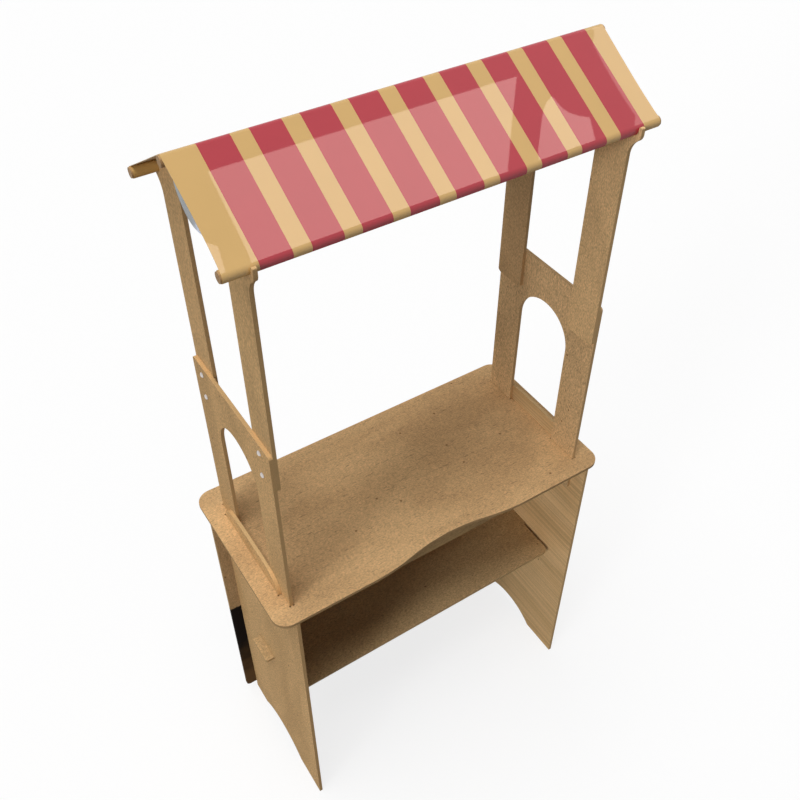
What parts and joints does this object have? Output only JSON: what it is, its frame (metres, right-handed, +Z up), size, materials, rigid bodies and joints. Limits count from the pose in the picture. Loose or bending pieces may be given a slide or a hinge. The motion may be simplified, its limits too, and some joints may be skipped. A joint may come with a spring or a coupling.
{
  "type": "market stall",
  "caption": "Wooden market stall with a scooped counter, a lower shelf, arched end plates, posts and a striped gable awning on round rails.",
  "frame": {"origin": "on the floor, under the middle of the counter top", "axes": "+Z up, +X along the counter to the operator's right, +Y from the operator's side to the customer's side"},
  "size_m": [1, 0.49, 2.0702],
  "materials": {
    "board": "bare board, satin",
    "dark_based_board": "bare board, near-black at the bottom",
    "post_board": "bare board, satin",
    "rail_wood": "bare round rail",
    "awning_cloth": "red and cream stripes, slightly glossy coated cloth",
    "bolt_metal": "low domed zinc heads"
  },
  "bodies": {
    "root": {"counter_top": "board", "left_side_panel": "board", "right_side_panel": "board", "lower_shelf": "board", "counter_front_rail": "board", "left_arch_plate": "board", "right_arch_plate": "board", "customer_side_panel": "dark_based_board", "left_front_post": "post_board", "right_front_post": "post_board", "left_rear_post": "post_board", "right_rear_post": "post_board", "front_roof_rail": "rail_wood", "rear_roof_rail": "rail_wood", "ridge_rail": "rail_wood", "awning": "awning_cloth", "left_front_lower_bolt": "bolt_metal", "left_front_upper_bolt": "bolt_metal", "left_rear_lower_bolt": "bolt_metal", "left_rear_upper_bolt": "bolt_metal", "right_front_lower_bolt": "bolt_metal", "right_front_upper_bolt": "bolt_metal", "right_rear_lower_bolt": "bolt_metal", "right_rear_upper_bolt": "bolt_metal"}
  },
  "joints": []
}
